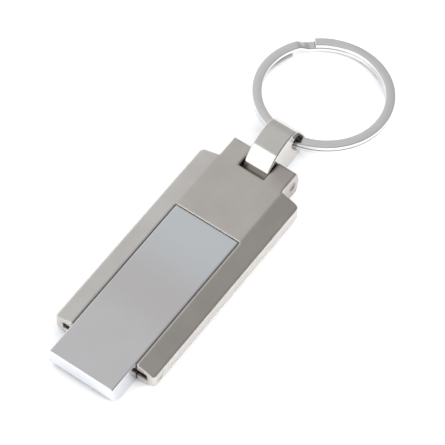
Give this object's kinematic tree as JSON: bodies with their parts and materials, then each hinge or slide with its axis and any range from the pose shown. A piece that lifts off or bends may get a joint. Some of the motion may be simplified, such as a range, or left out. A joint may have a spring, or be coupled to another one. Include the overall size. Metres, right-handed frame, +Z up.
{
  "type": "usb flash drive",
  "caption": "Slim metal USB flash drive that slides into a flat metal holder, which caps its plug and carries a hinged link and a split key ring.",
  "frame": {"origin": "middle of the holder plate's flat underside, which rests on the table", "axes": "+Y from the plate towards the key ring (the arms and the drive point along -Y), +X to the right arm, +Z up"},
  "size_m": [0.0301, 0.0989, 0.0099],
  "materials": {
    "holder_nickel": "satin",
    "case_aluminium": "satin",
    "link_nickel": "polished",
    "ring_steel": "satin",
    "pin_steel": "satin",
    "plug_steel": "polished",
    "contact_brass": "polished",
    "white_plastic": "satin",
    "black_plastic": "matte",
    "board_green": "gloss",
    "chip_black": "matte",
    "crystal_can": "satin",
    "capacitor_tan": "matte"
  },
  "bodies": {
    "holder": {"holder_frame": "holder_nickel", "pocket_liner": "black_plastic", "hinge_pin": "pin_steel", "detent_studs": "pin_steel"},
    "drive": {"drive_case": "case_aluminium", "right_guide_strip": "black_plastic", "left_guide_strip": "black_plastic", "plug_bezel": "black_plastic", "plug_shell": "plug_steel", "plug_insulator": "white_plastic", "plug_contacts": "contact_brass", "board_tray": "black_plastic", "board_lid": "black_plastic", "circuit_board": "board_green", "controller_chip": "chip_black", "memory_chip": "chip_black", "crystal": "crystal_can", "voltage_regulator": "chip_black", "capacitors": "capacitor_tan", "resistors": "chip_black"},
    "link": {"link": "link_nickel"},
    "ring": {"split_ring": "ring_steel"}
  },
  "joints": [
    {"name": "drive_slide", "type": "slide", "parent": "holder", "child": "drive", "axis": [0, -1, 0], "range_m": [0, 0.05]},
    {"name": "link_hinge", "type": "hinge", "parent": "holder", "child": "link", "pos_m": [0, 0.0113, 0.00315], "axis": [1, 0, 0], "range_deg": [-90, 45]},
    {"name": "ring_swing", "type": "hinge", "parent": "link", "child": "ring", "pos_m": [0, 0.0204, 0.00397], "axis": [1, 0, 0], "range_deg": [-90, 120]}
  ]
}
